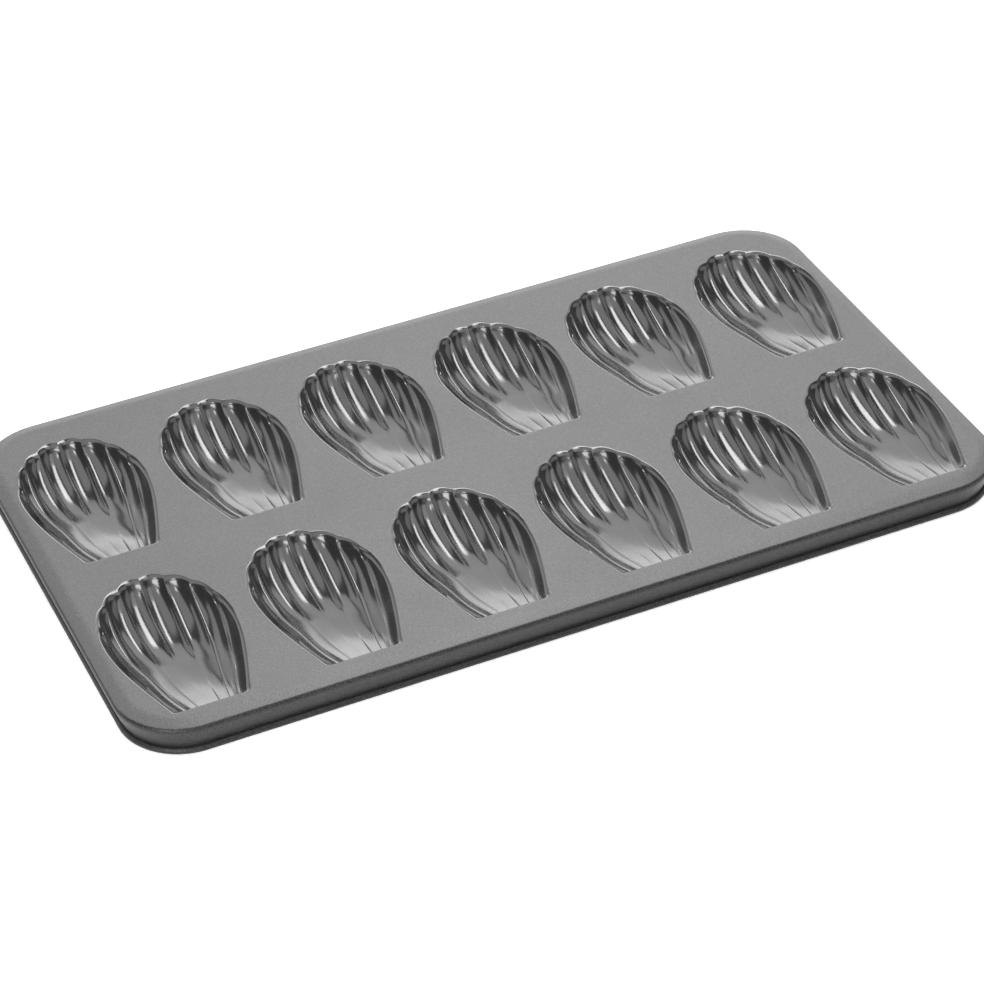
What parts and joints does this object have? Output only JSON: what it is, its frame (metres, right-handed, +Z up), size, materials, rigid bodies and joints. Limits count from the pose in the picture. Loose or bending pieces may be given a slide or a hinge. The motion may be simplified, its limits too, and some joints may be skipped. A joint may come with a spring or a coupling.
{
  "type": "madeleine pan",
  "caption": "Madeleine pan of dark coated sheet steel, with rows of fluted shell cups, rounded corners and a rolled hem.",
  "frame": {"origin": "middle of the pan, on the surface its hem stands on", "axes": "+Z up; X along the rows of cups; +Y from the front edge to the back, the way the scalloped ends point"},
  "size_m": [0.3772, 0.2158, 0.0146],
  "materials": {
    "coating": "satin",
    "wire_steel": "satin"
  },
  "bodies": {
    "root": {"deck_plate": "coating", "rim_and_skirt": "coating", "hem_wire": "wire_steel", "front_cup_1": "coating", "front_cup_2": "coating", "front_cup_3": "coating", "front_cup_4": "coating", "front_cup_5": "coating", "front_cup_6": "coating", "back_cup_1": "coating", "back_cup_2": "coating", "back_cup_3": "coating", "back_cup_4": "coating", "back_cup_5": "coating", "back_cup_6": "coating"}
  },
  "joints": []
}
